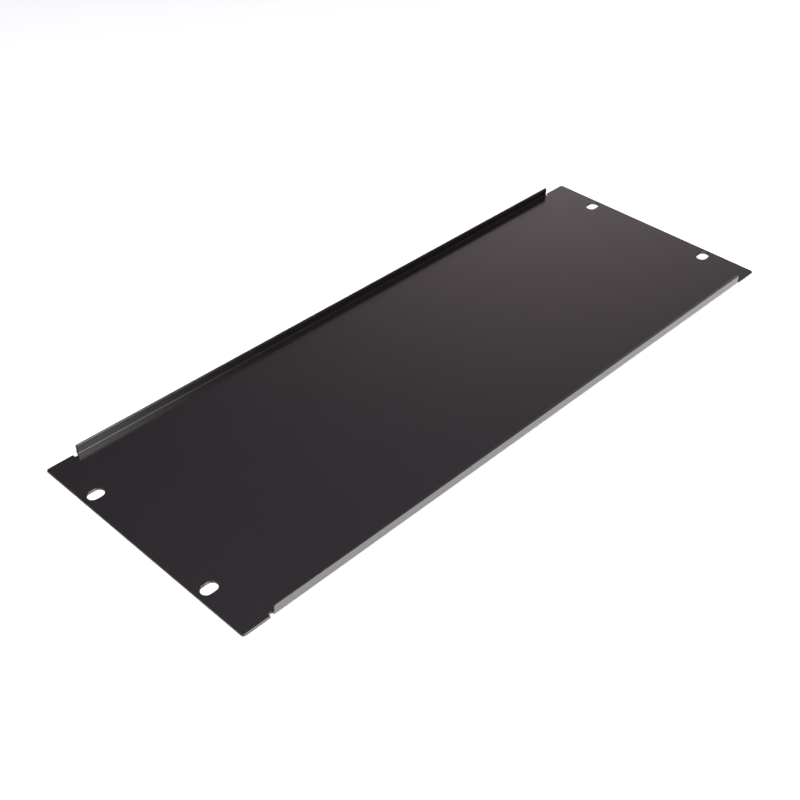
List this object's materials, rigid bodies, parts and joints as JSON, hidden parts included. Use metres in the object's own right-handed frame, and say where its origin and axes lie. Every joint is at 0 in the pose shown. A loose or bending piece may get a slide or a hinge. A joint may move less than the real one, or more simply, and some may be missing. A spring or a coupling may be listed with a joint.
{
  "type": "rack blanking panel",
  "caption": "Flat black steel panel that closes an unused opening in a 19-inch rack, with folded long edges and oblong screw slots near its corners.",
  "frame": {"origin": "centre of the panel's front face, which lies down on z = 0", "axes": "+X along the panel's length, +Y across it (its height once in the rack), +Z from the front face towards the back, where both folded edges point"},
  "size_m": [0.4826, 0.177, 0.0074],
  "materials": {
    "powder_coat": "black semi-gloss powder coat on steel sheet"
  },
  "bodies": {
    "root": {"panel": "powder_coat"}
  },
  "joints": []
}
